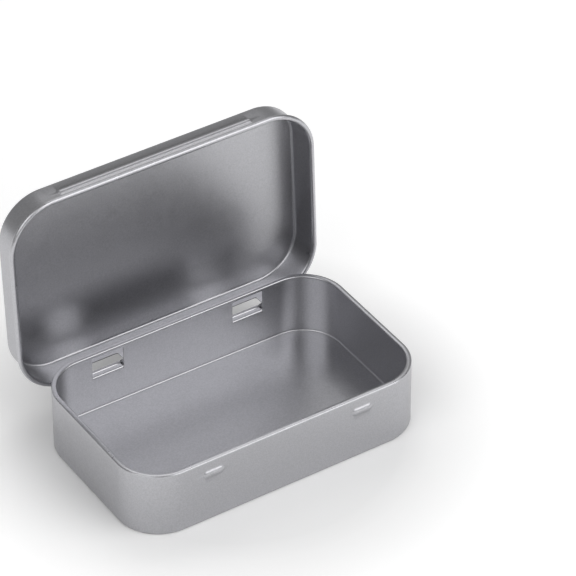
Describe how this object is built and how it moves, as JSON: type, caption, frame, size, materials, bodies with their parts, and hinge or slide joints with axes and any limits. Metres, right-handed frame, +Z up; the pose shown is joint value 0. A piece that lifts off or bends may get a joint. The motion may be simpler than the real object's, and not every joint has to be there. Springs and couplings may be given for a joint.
{
  "type": "mint tin",
  "caption": "Flat rectangular hinged tin with rounded corners: a pressed base tray and a shallow lid standing open on curled rear hinges.",
  "frame": {"origin": "centre of the base's flat underside", "axes": "+X along the tin's length, -Y towards the front with the two catches, +Y towards the hinge, +Z up"},
  "size_m": [0.095, 0.0699, 0.0702],
  "materials": {
    "tinplate": "satin grey tinplate with a fine grain"
  },
  "bodies": {
    "base": {"base_tray": "tinplate"},
    "lid": {"hinged_lid": "tinplate"}
  },
  "joints": [
    {"name": "lid_hinge", "type": "hinge", "parent": "base", "child": "lid", "pos_m": [0, 0.02954, 0.01078], "axis": [1, 0, 0], "range_deg": [0, 92.5]}
  ]
}
